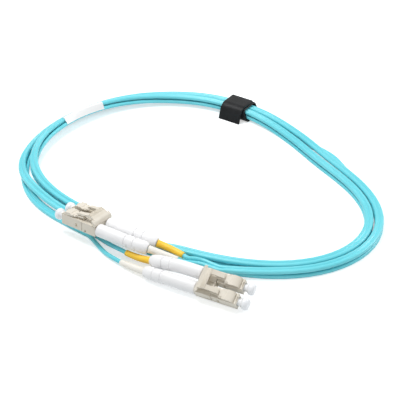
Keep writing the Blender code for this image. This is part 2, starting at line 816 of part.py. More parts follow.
def build_strap():
    """Across is outward, up is up: one ring round the bundle, and the tail over top and front."""
    width = 2 * (COLUMN + CORD_W / 2 + STRAP_ROOM)
    height = 2 * LAYER + STRAND_D + 4 * GAP
    low = STRAP_THICK
    middle = (0.0, low + height / 2)
    outer = rounded(width + 2 * STRAP_THICK, height + 2 * STRAP_THICK, 1.8, middle)
    inner = rounded(width, height, 0.9, middle)
    wrap = curve_mesh(flat_curve("strap_wrap", [outer, inner], STRAP_WIDTH))
    shift, slope, level = STRAP_LEAN
    for vertex in wrap.data.vertices:
        vertex.co.z += (shift + slope * (level - vertex.co.y / MM)) * MM
    keep(wrap, None, colour=BLACK, roughness=0.7)
    wrap.matrix_world = strap_place()

    near = -STRAP_BULGE
    top = low + height + STRAP_THICK + GAP
    far = STRAP_FOLD
    bend = 4.0
    inside = [(far, top), (near + bend, top)]
    for step in range(1, 6):
        turn = radians(90.0 + 15.0 * step)
        inside.append((near + bend + bend * cos(turn), top - bend + bend * sin(turn)))
    inside.append((-STRAP_FOOT, 0.0))
    outside = []
    for i, (x, y) in enumerate(inside):
        before = inside[max(i - 1, 0)]
        after = inside[min(i + 1, len(inside) - 1)]
        run = (after[0] - before[0], after[1] - before[1])
        size = sqrt(run[0] ** 2 + run[1] ** 2)
        outside.append((x + run[1] / size * STRAP_THICK, y - run[0] / size * STRAP_THICK))
    outside[-1] = (-STRAP_FOOT - STRAP_THICK, 0.0)
    fold = (far, top + STRAP_THICK / 2)
    outline = [(x - fold[0], y - fold[1]) for x, y in inside + outside[::-1]]
    tail = curve_mesh(flat_curve("strap_tail", [outline], STRAP_WIDTH))
    keep(tail, None, colour=BLACK, roughness=0.7)
    tail.matrix_world = strap_place() @ Matrix.Translation((fold[0] * MM, fold[1] * MM, 0.0))


def faceted(travel):
    """The cord's middle and roll on its straight-sided route."""
    stations = coil_travels()
    after = next(i for i, t in enumerate(stations) if t > travel)
    share = (travel - stations[after - 1]) / (stations[after] - stations[after - 1])
    (start, lean), (end, end_lean) = (cord_frame(t) for t in stations[after - 1:after + 1])
    return start + share * (end - start), lean + share * (end_lean - lean)


def build_label():
    """A film over the bundle's inner side: from on top of the upper cord's edge, round it and
    down."""
    start = LABEL_AT - LABEL_SPAN / 2
    end = LABEL_AT + LABEL_SPAN / 2
    travels = [start] + [t for t in coil_travels() if start < t < end] + [end]
    frames = [faceted(t) for t in travels]
    near = STRAND_D / 2 + LABEL_GAP
    turns = [radians(LABEL_FROM + (180.0 - LABEL_FROM) * k / 3) for k in range(4)]
    section = []
    for radius, order in ((near, 1), (near + LABEL_THICK, -1)):
        side = [(radius * cos(t) - STRAND_PITCH / 2, radius * sin(t)) for t in turns]
        side.append((-radius - STRAND_PITCH / 2, -LABEL_DROP))
        section += side[::order]
    points = [tuple(at * MM) for at, lean in frames]
    label = swept("label", section, points, [-lean for at, lean in frames])
    keep(label, None, colour=WHITE, roughness=0.6)


# ---------------------------------------------------------------- the whole cord

build_coil()
build_strap()
build_label()
PLACE_A = connector("a", A_AT, A_TURN, A_BENDS, (IVORY, YELLOW))
PLACE_B = connector("b", B_AT, B_TURN, B_BENDS, (YELLOW, IVORY))
HALF = PITCH / 2
leg("a_leg_left", PLACE_A, -HALF, A_BENDS[0], COIL_START, -1, 1, [(0.0, -49.3, 3.3)])
leg("a_leg_right", PLACE_A, HALF, A_BENDS[1], COIL_START, -1, -1, [(0.0, -46.6, 3.3)])
leg("b_leg_left", PLACE_B, -HALF, B_BENDS[0], COIL_END, 1, -1, [(-35.9, -35.4, 2.4)])
leg("b_leg_right", PLACE_B, HALF, B_BENDS[1], COIL_END, 1, 1, [(-37.6, -39.3, 1.2)])
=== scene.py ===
from math import cos, exp, pi, radians, sin, sqrt

import bmesh
import bpy
import numpy as np
from mathutils import Matrix, Vector


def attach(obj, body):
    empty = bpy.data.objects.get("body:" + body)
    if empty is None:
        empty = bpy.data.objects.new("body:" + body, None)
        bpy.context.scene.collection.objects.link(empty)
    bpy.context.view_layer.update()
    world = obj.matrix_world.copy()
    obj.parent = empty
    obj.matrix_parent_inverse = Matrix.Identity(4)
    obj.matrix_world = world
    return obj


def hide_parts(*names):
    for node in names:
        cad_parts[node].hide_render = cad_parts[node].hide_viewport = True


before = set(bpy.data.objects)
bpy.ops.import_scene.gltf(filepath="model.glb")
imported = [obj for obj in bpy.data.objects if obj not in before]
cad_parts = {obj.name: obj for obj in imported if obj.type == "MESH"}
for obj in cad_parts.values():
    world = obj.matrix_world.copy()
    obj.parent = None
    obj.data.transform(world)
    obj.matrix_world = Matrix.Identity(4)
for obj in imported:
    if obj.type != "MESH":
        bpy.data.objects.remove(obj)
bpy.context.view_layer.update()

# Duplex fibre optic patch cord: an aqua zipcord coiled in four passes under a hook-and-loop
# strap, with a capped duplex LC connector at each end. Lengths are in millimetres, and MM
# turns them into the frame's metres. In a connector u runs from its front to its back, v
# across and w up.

MM = 0.001
GAP = 0.2
SHIFT_X = 17.8
SHIFT_Y = -2.3

# Zipcord and the coil that it lies in.
STRAND_D = 1.8
STRAND_PITCH = 1.9
CORD_W = STRAND_PITCH + STRAND_D
COIL_X = -3.0
COIL_Y = 16.4
COIL_R = 66.4
COIL_WAVES = ((2, 11.7, -40.0), (3, 4.4, 77.0), (4, 1.2, 54.0), (5, -0.8, 0.0))
COIL_DENTS = ((218.0, 22.0, -3.0), (338.0, 22.0, 2.0), (28.0, 22.0, 1.7))
SWINGS = (  # middle and width, as travel in degrees, and size outward
    (170.0, 15.0, 0.8), (192.0, 14.0, -1.7), (897.0, 13.0, 1.2), (1093.0, 13.0, 3.8),
)
COLUMN = 2.1
LAYER = 1.13
COIL_START = -78.0
COIL_END = 1303.0
COIL_STEP = 3.0
ROLL = -34.0
ROLL_AT = 150.0
ROLL_SPAN = 50.0
FLAT_CUT = 0.1 * STRAND_D
OUTER_TOP = (1, 1)
INNER_TOP = (-1, 1)
INNER_LOW = (-1, -1)
OUTER_LOW = (1, -1)
LOBE_REACH = 156.0  # how far round each strand its own surface runs, to the web
LOBE_POINTS = 13

# Strap.
STRAP_AT = 69.6
STRAP_WIDTH = 11.3
STRAP_THICK = 0.7
STRAP_ROOM = 0.8
STRAP_LEAN = (0.4, 0.37, 6.0)
STRAP_FOLD = 3.6
STRAP_BULGE = 7.1
STRAP_FOOT = 8.2
WEAVE = 0.55
TAPE_STEP = 0.35

# Label.
LABEL_AT = 360.0 + 136.8
LABEL_SPAN = 18.6
LABEL_DROP = 2.63
LABEL_GAP = 0.12
LABEL_FROM = 75.0
LABEL_THICK = 0.14

# Duplex connector.
PITCH = 6.25
HALF = PITCH / 2
HOUSING = 4.52
HOUSING_L = 10.45
NECK = 3.22
NECK_END = 16.2
CLIP_START = 10.65
CLIP_END = 17.4
CLIP_BORE = 3.62
CLIP_HALF = (PITCH + HOUSING) / 2
CLIP_REAR_TOP = 3.9
AXIS_W = HOUSING / 2
BOOT_START = CLIP_END + GAP
BOOT_END = 40.4
BOOT_R = 2.65
BOOT_BENDS = 22.0
BOOT_SLOTS = (0.58, 0.64, 0.74, 0.80)  # shares of the boot's length
SLOT_HALF = 0.3
SLOT_DEPTH = 0.32
SLEEVE_FRONT = 1.55
SLEEVE_BACK = 1.28
SLEEVE_BORE = 1.12
SLEEVE_L = 12.2
REAR_END = BOOT_END + GAP + SLEEVE_L

A_AT = (-52.8, -20.95, 5.37)
A_TURN = (-35.5, 1.1, -4.7)
B_AT = (16.1, -69.3, 2.87)
B_TURN = (153.55, 1.3, -29.5)
A_BENDS = (((0.33, -0.175), (0.015, -0.07)), ((0.27, -0.185), (-0.34, 0.095)))
B_BENDS = (((0.05, -0.315), (-0.175, 0.395)), ((-0.04, -0.2), (-0.155, 0.01)))

# The photograph's view.
VIEW_ELEVATION = 34.0
VIEW_DISTANCE = 500.0
VIEW_LENS = 105.75

AQUA = (0.12, 0.64, 0.735)
AQUA_LIGHT = (0.175, 0.71, 0.80)
BEIGE = (0.69, 0.635, 0.535)
BEIGE_LIGHT = (0.75, 0.70, 0.605)
WHITE = (0.86, 0.86, 0.87)
WHITE_LIGHT = (0.90, 0.90, 0.905)
CAP = (0.85, 0.87, 0.90)
CAP_LIGHT = (0.90, 0.91, 0.925)
IVORY = (0.86, 0.83, 0.76)
IVORY_LIGHT = (0.90, 0.875, 0.81)
YELLOW = (0.98, 0.585, 0.035)
YELLOW_LIGHT = (1.0, 0.65, 0.055)
BLACK = (0.006, 0.0065, 0.007)
BLACK_LIGHT = (0.013, 0.014, 0.016)
PAPER = (0.86, 0.86, 0.87)
PAPER_LIGHT = (0.90, 0.90, 0.90)
CERAMIC = (0.80, 0.78, 0.74)
STEEL = (0.62, 0.61, 0.59)
STEEL_LIGHT = (0.72, 0.71, 0.69)

GRAIN_DEPTH = 0.00002
WEAVE_DEPTH = 0.00006
GLOSS_SPREAD = 0.06
EDGE_SEGMENTS = 3
EDGE_ANGLE = 32.0
STRAND_SIDES = 24
LEG_POINTS = 90
LABEL_ROWS = 60
FLOOR_GLOW = 0.52
WORLD_FILL = 0.42
LAMPS = (  # name, place and size in metres, and power in watts
    ("key", (-0.18, 0.1, 0.65), 0.36, 3.1),
    ("side", (0.58, 0.18, 0.34), 0.3, 1.3),
    ("fill", (0.1, -0.65, 0.45), 0.6, 0.6),
)

SCENE = bpy.context.scene


# ---------------------------------------------------------------- materials


def material(name, colour, lighter, roughness, patch=60.0, grain=2200.0, bump=0.25,
             coat=0.0, metallic=0.0, specular=0.5):
    """A surface whose colour drifts over patches, with a fine grain in gloss and relief.
    patch and grain are in features per metre."""
    made = bpy.data.materials.new(name)
    made.use_nodes = True
    nodes, links = made.node_tree.nodes, made.node_tree.links
    shader = nodes["Principled BSDF"]
    shader.inputs["Metallic"].default_value = metallic
    shader.inputs["Coat Weight"].default_value = coat
    shader.inputs["Coat Roughness"].default_value = 0.15
    shader.inputs["Specular IOR Level"].default_value = specular
    place = nodes.new("ShaderNodeTexCoord")
    drift = nodes.new("ShaderNodeTexNoise")
    drift.inputs["Scale"].default_value = patch
    drift.inputs["Detail"].default_value = 4.0
    links.new(place.outputs["Object"], drift.inputs["Vector"])
    ramp = nodes.new("ShaderNodeValToRGB")
    ramp.color_ramp.elements[0].position = 0.3
    ramp.color_ramp.elements[0].color = (*colour, 1.0)
    ramp.color_ramp.elements[1].position = 0.72
    ramp.color_ramp.elements[1].color = (*lighter, 1.0)
    links.new(drift.outputs["Fac"], ramp.inputs["Fac"])
    links.new(ramp.outputs["Color"], shader.inputs["Base Color"])
    fine = nodes.new("ShaderNodeTexNoise")
    fine.inputs["Scale"].default_value = grain
    fine.inputs["Detail"].default_value = 3.0
    links.new(place.outputs["Object"], fine.inputs["Vector"])
    gloss = nodes.new("ShaderNodeMapRange")
    gloss.inputs["To Min"].default_value = roughness - GLOSS_SPREAD
    gloss.inputs["To Max"].default_value = roughness + GLOSS_SPREAD
    links.new(fine.outputs["Fac"], gloss.inputs["Value"])
    links.new(gloss.outputs["Result"], shader.inputs["Roughness"])
    relief = nodes.new("ShaderNodeBump")
    relief.inputs["Strength"].default_value = bump
    relief.inputs["Distance"].default_value = GRAIN_DEPTH
    links.new(fine.outputs["Fac"], relief.inputs["Height"])
    links.new(relief.outputs["Normal"], shader.inputs["Normal"])
    return made


def woven(name):
    """Black tape: crossing threads from the piece's own map, which runs along and across it."""
    made = material(name, BLACK, BLACK_LIGHT, 0.36, patch=300.0, specular=0.16)
    nodes, links = made.node_tree.nodes, made.node_tree.links
    shader = nodes["Principled BSDF"]
    place = nodes.new("ShaderNodeUVMap")
    place.uv_map = "tape"
    split = nodes.new("ShaderNodeSeparateXYZ")
    links.new(place.outputs["UV"], split.inputs["Vector"])
    waves = []
    for axis, phase in (("X", 0.0), ("Y", pi / 2)):
        scale = nodes.new("ShaderNodeMath")
        scale.operation = "MULTIPLY_ADD"
        scale.inputs[1].default_value = 2 * pi / WEAVE
        scale.inputs[2].default_value = phase
        links.new(split.outputs[axis], scale.inputs[0])
        wave = nodes.new("ShaderNodeMath")
        wave.operation = "SINE"
        links.new(scale.outputs["Value"], wave.inputs[0])
        waves.append(wave)
    crossing = nodes.new("ShaderNodeMath")
    crossing.operation = "MULTIPLY"
    links.new(waves[0].outputs["Value"], crossing.inputs[0])
    links.new(waves[1].outputs["Value"], crossing.inputs[1])
    relief = nodes.new("ShaderNodeBump")
    relief.inputs["Strength"].default_value = 0.6
    relief.inputs["Distance"].default_value = WEAVE_DEPTH
    links.new(crossing.outputs["Value"], relief.inputs["Height"])
    links.new(nodes["Bump"].outputs["Normal"], relief.inputs["Normal"])
    links.new(relief.outputs["Normal"], shader.inputs["Normal"])
    return made


JACKET = material("jacket", AQUA, AQUA_LIGHT, 0.36, patch=45.0, grain=1800.0, coat=0.08)
BODY = material("connector_beige", BEIGE, BEIGE_LIGHT, 0.33, patch=140.0, grain=2600.0, bump=0.04)
BOOT = material("boot_white", WHITE, WHITE_LIGHT, 0.45, patch=120.0, bump=0.06)
CAPS = material("cap_white", CAP, CAP_LIGHT, 0.3, patch=150.0, coat=0.1, bump=0.04)
SLEEVE_IVORY = material("sleeve_ivory", IVORY, IVORY_LIGHT, 0.44, patch=180.0)
SLEEVE_YELLOW = material("sleeve_yellow", YELLOW, YELLOW_LIGHT, 0.42, patch=180.0)
TAPE = woven("hook_and_loop")
LABEL = material("label_film", PAPER, PAPER_LIGHT, 0.4, patch=220.0, coat=0.2)
FERRULE = material("ferrule_ceramic", CERAMIC, WHITE, 0.16, patch=400.0, bump=0.05)
METAL = material("nickel", STEEL, STEEL_LIGHT, 0.3, patch=500.0, metallic=1.0)
BUFFER = material("fibre_buffer", WHITE, WHITE_LIGHT, 0.5, patch=200.0)


# ---------------------------------------------------------------- making meshes


def mesh_piece(name, shape, sharp=40.0):
    """An object from a bmesh, shaded smooth but for edges sharper than that many degrees."""
    bmesh.ops.recalc_face_normals(shape, faces=shape.faces)
    mesh = bpy.data.meshes.new(name)
    shape.to_mesh(mesh)
    shape.free()
    mesh.polygons.foreach_set("use_smooth", [True] * len(mesh.polygons))
    if sharp:
        mesh.set_sharp_from_angle(angle=radians(sharp))
    obj = bpy.data.objects.new(name, mesh)
    SCENE.collection.objects.link(obj)
    return obj


def fit(obj, body, look, nodes, place=None):
    """Puts a finished piece in place, on its body, for the nodes that it stands for."""
    if place is not None:
        obj.data.transform(place)
    obj.data.materials.clear()
    obj.data.materials.append(look)
    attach(obj, body)
    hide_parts(*nodes)
    return obj


def rings_mesh(shape, rings, closed):
    """Skins rings of points, in millimetres, and caps the ends unless they join up."""
    made = [[shape.verts.new(Vector(p) * MM) for p in ring] for ring in rings]
    pairs = list(zip(made, made[1:]))
    if closed:
        pairs.append((made[-1], made[0]))
    count = len(made[0])
    for ring, following in pairs:
        for i in range(count):
            j = (i + 1) % count
            shape.faces.new((ring[i], ring[j], following[j], following[i]))
    if not closed:
        shape.faces.new(made[0][::-1])
        shape.faces.new(made[-1])


def prism(name, outline, v):
    """A solid of one (u, w) outline between two v positions."""
    shape = bmesh.new()
    rings_mesh(shape, [[(u, at, w) for u, w in outline] for at in v], closed=False)
    return mesh_piece(name, shape, sharp=0.0)


def brick(name, u, v, w):
    return prism(name, [(u[0], w[0]), (u[1], w[0]), (u[1], w[1]), (u[0], w[1])], v)


def drum(name, outline, v, steps):
    """A round solid about a plug's middle line at v, from (radius, u) points that start and
    end on that line."""
    shape = bmesh.new()
    rows = []
    for radius, u in outline[1:-1]:
        turns = [2 * pi * i / steps for i in range(steps)]
        rows.append([(u, v + radius * cos(t), AXIS_W + radius * sin(t)) for t in turns])
    rings_mesh(shape, rows, closed=False)
    return mesh_piece(name, shape, sharp=50.0)


def carve(obj, *tools):
    """Applies (operation, tool) pairs to a solid and removes the tools."""
    for operation, tool in tools:
        modifier = obj.modifiers.new(tool.name, "BOOLEAN")
        modifier.operation = operation
        modifier.object = tool
        modifier.solver = "EXACT"
    bpy.context.view_layer.update()
    graph = bpy.context.evaluated_depsgraph_get()
    mesh = bpy.data.meshes.new_from_object(obj.evaluated_get(graph))
    obj.modifiers.clear()
    obj.data = mesh
    for _, tool in tools:
        bpy.data.objects.remove(tool)
    return obj


def soften(obj, width):
    """Rounds the moulded edges."""
    shape = bmesh.new()
    shape.from_mesh(obj.data)
    bmesh.ops.remove_doubles(shape, verts=shape.verts, dist=2e-6)
    bmesh.ops.dissolve_limit(
        shape, angle_limit=radians(1.0), verts=shape.verts, edges=shape.edges
    )
    shape.to_mesh(obj.data)
    shape.free()
    obj.data.polygons.foreach_set("use_smooth", [True] * len(obj.data.polygons))
    bevel = obj.modifiers.new("edges", "BEVEL")
    bevel.width = width * MM
    bevel.segments = EDGE_SEGMENTS
    bevel.limit_method = "ANGLE"
    bevel.angle_limit = radians(EDGE_ANGLE)
    normals = obj.modifiers.new("normals", "WEIGHTED_NORMAL")
    normals.keep_sharp = False
    return obj


# ---------------------------------------------------------------- the coil's route


def bump(angle, middle, width):
    away = (angle - middle + 180.0) % 360.0 - 180.0
    return exp(-((away / width) ** 2))


def ease(angle, start, end):
    t = min(max((angle - start) / (end - start), 0.0), 1.0)
    return t * t * (3.0 - 2.0 * t)


def outline_radius(angle):
    waves = sum(size * cos(count * radians(angle - turn)) for count, size, turn in COIL_WAVES)
    dents = sum(size * bump(angle, middle, width) for middle, width, size in COIL_DENTS)
    return COIL_R + waves + dents


def outline_point(angle):
    r = outline_radius(angle)
    return np.array([COIL_X + r * cos(radians(angle)), COIL_Y + r * sin(radians(angle))])


def outward(angle):
    step = outline_point(angle + 0.5) - outline_point(angle - 0.5)
    step /= np.linalg.norm(step)
    return np.array([step[1], -step[0]])


def column(angle):
    """Half the distance between the two columns: they part a little on the left."""
    return COLUMN + 1.2 * bump(angle, 192.0, 22.0) + 0.3 * bump(angle, 24.0, 25.0)


def roll(angle):
    """The bundle leans on the far left, with its inner side up."""
    return radians(ROLL) * bump(angle, ROLL_AT, ROLL_SPAN)


def strap_lift(angle):
    away = abs((angle - STRAP_AT + 180.0) % 360.0 - 180.0)
    return (STRAP_THICK + GAP + FLAT_CUT) * (1.0 - ease(away, 8.0, 36.0))


def cell(travel):
    """Where in the bundle the cord lies: column and layer, each from -1 to 1."""
    steps = ((OUTER_TOP, 243.0, 265.0), (INNER_TOP, 582.0, 603.0), (INNER_LOW, 922.0, 942.0))
    after = (INNER_TOP, INNER_LOW, OUTER_LOW)
    place = np.array(OUTER_TOP, float)
    for (before, start, end), then in zip(steps, after):
        share = ease(travel, start, end)
        place = place + share * (np.array(then, float) - np.array(before, float))
    return place


def swing(travel):
    """How far a pass lies outward of its place in the bundle, along the bundle's width."""
    return sum(size * exp(-(((travel - at) / width) ** 2)) for at, width, size in SWINGS)


def stray(travel):
    """How far the cord's two ends stand off the bundle, outward."""
    return 3.6 * (1.0 - ease(travel, -92.0, -62.0)) + 4.9 * ease(travel, 1254.0, 1314.0)


def ride_over(travel):
    """The first pass rises a little where the last one leaves the bundle under it."""
    return 0.75 * bump(travel, 196.0, 15.0) * (travel < 270.0)


def cord_frame(travel):
    """The cord's middle, in millimetres, and its roll, at a travel angle in degrees."""
    angle = travel % 360.0
    lean = roll(angle)
    across, up = cell(travel)
    a = across * column(angle) + swing(travel)
    b = up * LAYER
    half_width = column(angle) + CORD_W / 2
    half_height = LAYER + STRAND_D / 2
    middle = half_width * abs(sin(lean)) + half_height * cos(lean)
    middle += strap_lift(angle) - FLAT_CUT
    off = a * cos(lean) - b * sin(lean) + stray(travel)
    height = middle + a * sin(lean) + b * cos(lean) + ride_over(travel)
    flat = outline_point(angle) + outward(angle) * off
    return np.array([flat[0] + SHIFT_X, flat[1] + SHIFT_Y, height]), lean


def cord_axes(travel):
    """Directions across the zipcord and out of its flat side."""
    lean = roll(travel % 360.0)
    n = outward(travel % 360.0)
    across = np.array([n[0] * cos(lean), n[1] * cos(lean), sin(lean)])
    top = np.array([-n[0] * sin(lean), -n[1] * sin(lean), cos(lean)])
    return across, top


def lobes():
    """The zipcord's section, as a figure of eight with a thin web."""
    points = []
    for side in (1, -1):
        for i in range(LOBE_POINTS):
            turn = radians(LOBE_REACH * (2 * i / (LOBE_POINTS - 1) - 1))
            x = side * (STRAND_PITCH / 2 + STRAND_D / 2 * cos(turn))
            points.append((x, side * STRAND_D / 2 * sin(turn)))
    return points


def build_zipcord():
    count = round((COIL_END - COIL_START) / COIL_STEP)
    travels = np.linspace(COIL_START, COIL_END, count + 1)
    route = [cord_frame(t)[0] for t in travels]
    rings = []
    for travel, middle in zip(travels, route):
        across, top = cord_axes(travel)
        ring = [middle + x * across + y * top for x, y in lobes()]
        rings.append([(p[0], p[1], max(p[2], 0.0)) for p in ring])
    shape = bmesh.new()
    rings_mesh(shape, rings, closed=False)
    piece = mesh_piece("zipcord", shape, sharp=70.0)
    fit(piece, "cord", JACKET, ["zipcord_coil"])


# ---------------------------------------------------------------- bent pieces and legs


def bent_line(v, bend):
    """The middle of a boot and its sleeve: straight over the crimp, then bending more and more."""
    boot_bend, sleeve_bend = (np.array(b) for b in bend)
    step = 0.4
    point = np.array([BOOT_START, v, AXIS_W])
    line = [point]
    while BOOT_START + step * (len(line) - 1) < REAR_END + 3.0:
        run = BOOT_START + step * (len(line) - 1)
        slope = boot_bend * min(max((run - BOOT_BENDS) / (BOOT_END - BOOT_BENDS), 0.0), 1.0)
        slope = slope + sleeve_bend * min(max((run - BOOT_END) / SLEEVE_L, 0.0), 1.0)
        ahead = np.array([1.0, *slope])
        point = point + step * ahead / np.linalg.norm(ahead)
        line.append(point)
    return np.array(line), step


def along(line, run):
    """The point of a bent line at a run from the connector's front, and its direction there."""
    points, step = line
    place = (run - BOOT_START) / step
    i = int(min(max(place, 0), len(points) - 2))
    ahead = points[i + 1] - points[i]
    return points[i] + (place - i) * ahead, ahead / np.linalg.norm(ahead)


def lathe(name, outline, line, steps, dent=None):
    """A round piece about a bent line, from a closed outline of (radius, run) points. dent
    takes an angle and a run and gives how much of the radius is missing there."""
    rings = []
    for radius, run in outline:
        middle, ahead = along(line, run)
        across = np.array([0.0, 1.0, 0.0]) - ahead * ahead[1]
        across /= np.linalg.norm(across)
        up = np.cross(ahead, across)
        ring = []
        for i in range(steps):
            turn = 2 * pi * i / steps
            r = radius
            if dent is not None and radius > 2.0:
                r -= dent(turn, run)
            ring.append(middle + r * (cos(turn) * across + sin(turn) * up))
        rings.append(ring)
    shape = bmesh.new()
    rings_mesh(shape, rings, closed=True)
    return mesh_piece(name, shape, sharp=50.0)


def slot_dent(flipped):
    """The strain relief's slots: half-rings, by turns on top and below."""
    length = BOOT_END - BOOT_START
    places = [BOOT_START + share * length for share in BOOT_SLOTS]

    def dent(turn, run):
        deep = 0.0
        for i, place in enumerate(places):
            away = abs(run - place) / SLOT_HALF
            if away >= 1.0:
                continue
            top = (i % 2 == 0) != flipped
            side = sin(turn) if top else -sin(turn)
            reach = ease(side, -0.22, 0.08)
            deep = max(deep, SLOT_DEPTH * reach * min((1.0 - away) / 0.4, 1.0))
        return deep

    return dent


def boot_outline():
    length = BOOT_END - BOOT_START
    outer = [(1.2, BOOT_END), (1.95, BOOT_END), (2.14, BOOT_END - 0.06), (2.24, BOOT_END - 0.2)]
    outer += [(2.4, BOOT_END - 0.6), (2.52, BOOT_END - 1.2), (2.6, BOOT_END - 2.2)]
    runs = []
    for share in BOOT_SLOTS:
        middle = BOOT_START + share * length
        runs += [middle + SLOT_HALF * k for k in (-1.02, -0.98, -0.6, -0.3, 0.3, 0.6, 0.98, 1.02)]
    runs += [BOOT_START + 0.45 + 1.1 * i for i in range(20)]
    runs = sorted({round(r, 3) for r in runs if r < BOOT_END - 2.4}, reverse=True)
    outer += [(BOOT_R, run) for run in runs]
    outer += [(BOOT_R - 0.03, BOOT_START + 0.3), (BOOT_R - 0.12, BOOT_START + 0.12)]
    outer += [(BOOT_R - 0.3, BOOT_START)]
    inner = [(1.85, BOOT_START), (1.85, 24.6), (1.2, 25.2), (1.2, 29.0), (1.2, 33.0), (1.2, 37.0)]
    return outer + inner


def sleeve_outline():
    start = BOOT_END + GAP
    count = 14
    outline = [(SLEEVE_BORE, start), (SLEEVE_FRONT - 0.1, start)]
    for i in range(count + 1):
        share = i / count
        flare = 0.1 * exp(-share * 14.0)
        radius = SLEEVE_FRONT + (SLEEVE_BACK - SLEEVE_FRONT) * share - 0.04 + flare
        outline.append((radius, start + 0.08 + (SLEEVE_L - 0.16) * share))
    end = start + SLEEVE_L
    outline += [(SLEEVE_BACK - 0.1, end), (SLEEVE_BORE, end)]
    outline += [(SLEEVE_BORE, end - SLEEVE_L * k / 4) for k in (1, 2, 3)]
    return outline


def smooth_route(knots, count):
    """Points along a smooth curve through the knots, by length, centripetal in its pace."""
    knots = [np.array(k, float) for k in knots]
    knots = [2 * knots[0] - knots[1]] + knots + [2 * knots[-1] - knots[-2]]
    dense = []
    for p0, p1, p2, p3 in zip(knots, knots[1:], knots[2:], knots[3:]):
        t1 = sqrt(np.linalg.norm(p1 - p0))
        t2 = t1 + sqrt(np.linalg.norm(p2 - p1))
        t3 = t2 + sqrt(np.linalg.norm(p3 - p2))
        for t in np.linspace(t1, t2, 24, endpoint=False):
            a1 = (t1 - t) / t1 * p0 + t / t1 * p1
            a2 = ((t2 - t) * p1 + (t - t1) * p2) / (t2 - t1)
            a3 = ((t3 - t) * p2 + (t - t2) * p3) / (t3 - t2)
            b1 = ((t2 - t) * a1 + t * a2) / t2
            b2 = ((t3 - t) * a2 + (t - t1) * a3) / (t3 - t1)
            dense.append(((t2 - t) * b1 + (t - t1) * b2) / (t2 - t1))
    dense.append(knots[-2])
    dense = np.array(dense)
    runs = np.concatenate([[0.0], np.cumsum(np.linalg.norm(np.diff(dense, axis=0), axis=1))])
    even = np.linspace(0.0, runs[-1], count)
    return np.array([np.interp(even, runs, dense[:, i]) for i in range(3)]).T, runs[-1]


def build_leg(name, place, v, bend, travel, forward, side, knot):
    """One strand from its crimp, through boot and sleeve, to the zipcord's split end."""
    line = bent_line(v, bend)
    route = []
    for run in (19.4, 23.0, 27.0, 31.0, 35.0, 39.0, 43.0, 47.0, 50.0, REAR_END, REAR_END + 2.0):
        at = along(line, run)[0]
        route.append(np.array(place @ Vector(at * MM)) / MM)
    middle = cord_frame(travel)[0]
    across = cord_axes(travel)[0]
    end = middle + across * side * STRAND_PITCH / 2
    end[2] = max(end[2], STRAND_D / 2 + 0.02)
    ahead = cord_frame(travel + forward)[0] - middle
    ahead /= np.linalg.norm(ahead)
    route.append(np.array(knot) + np.array([SHIFT_X, SHIFT_Y, 0.0]))
    route += [end + ahead * (0.3 + STRAND_D), end - ahead * 0.1]
    points, length = smooth_route(route, LEG_POINTS)
    rings = []
    for i, at in enumerate(points):
        before, after = points[max(i - 1, 0)], points[min(i + 1, len(points) - 1)]
        run = (after - before) / np.linalg.norm(after - before)
        flat = np.cross(run, (0.0, 0.0, 1.0))
        flat /= np.linalg.norm(flat)
        up = np.cross(flat, run)
        turns = [2 * pi * k / STRAND_SIDES for k in range(STRAND_SIDES)]
        ring = [at + STRAND_D / 2 * (cos(t) * flat + sin(t) * up) for t in turns]
        rings.append([(p[0], p[1], max(p[2], 0.0)) for p in ring])
    shape = bmesh.new()
    rings_mesh(shape, rings, closed=False)
    piece = mesh_piece(f"{name}_strand", shape, sharp=60.0)
    fit(piece, "cord", JACKET, [name])


# ---------------------------------------------------------------- connectors


def housing(name, v):
    """A plug body: square shell with a bore, a keyed top at its front and a slot each side."""
    half = HOUSING / 2
    side = [(0.0, 0.0), (HOUSING_L, 0.0), (HOUSING_L, HOUSING), (2.9, HOUSING)]
    side += [(2.5, HOUSING + 0.05), (0.8, HOUSING + 0.05), (0.8, HOUSING + 0.36)]
    side += [(0.3, HOUSING + 0.36), (0.0, HOUSING + 0.2)]
    body = prism(name, side, (v - half, v + half))
    neck = brick(
        f"{name}_neck", (HOUSING_L - 1.0, NECK_END), (v - NECK / 2, v + NECK / 2),
        (AXIS_W - NECK / 2, AXIS_W + NECK / 2),
    )
    bore = [(0.0, NECK_END + 1), (1.2, NECK_END + 1), (1.2, 11.5), (1.45, 11.5), (1.45, 3.6)]
    bore += [(0.83, 3.6), (0.83, 3.2), (1.65, 3.2), (1.65, 0.25), (1.85, -1.0), (0.0, -1.0)]
    tools = [("UNION", neck), ("DIFFERENCE", drum(f"{name}_bore", bore, v, 32))]
    for i, edge in enumerate((v - half, v + half)):
        window = brick(f"{name}_slot_{i}", (7.15, 8.0), (edge - 0.8, edge + 0.8), (1.15, 2.6))
        tools.append(("DIFFERENCE", window))
    notch = brick(f"{name}_notch", (-1.0, 0.5), (v - 0.9, v + 0.9), (4.2, 6.0))
    tools.append(("DIFFERENCE", notch))
    return soften(carve(body, *tools), 0.2)


def latch(name, v):
    """The spring latch: a broad head over the plug's front, and a thin arm to the back."""
    head = [(1.15, 4.74), (3.2, 4.78), (5.8, 4.95), (5.8, 5.75), (4.7, 5.72), (4.45, 6.08)]
    head += [(4.2, 6.14), (2.3, 5.98), (1.75, 5.75), (1.35, 5.35)]
    body = prism(name, head, (v - 2.08, v + 2.08))
    arm = [(4.0, 4.84), (7.3, 5.08), (10.75, 5.5), (10.75, 5.9), (10.3, 6.03), (7.2, 5.8)]
    arm += [(4.0, 5.68)]
    ear = [(5.95, 5.05), (7.15, 5.12), (7.15, 5.72), (5.95, 5.62)]
    carve(
        body,
        ("UNION", prism(f"{name}_arm", arm, (v - 1.33, v + 1.33))),
        ("UNION", prism(f"{name}_ears", ear, (v - 1.93, v + 1.93))),
    )
    return soften(body, 0.1)


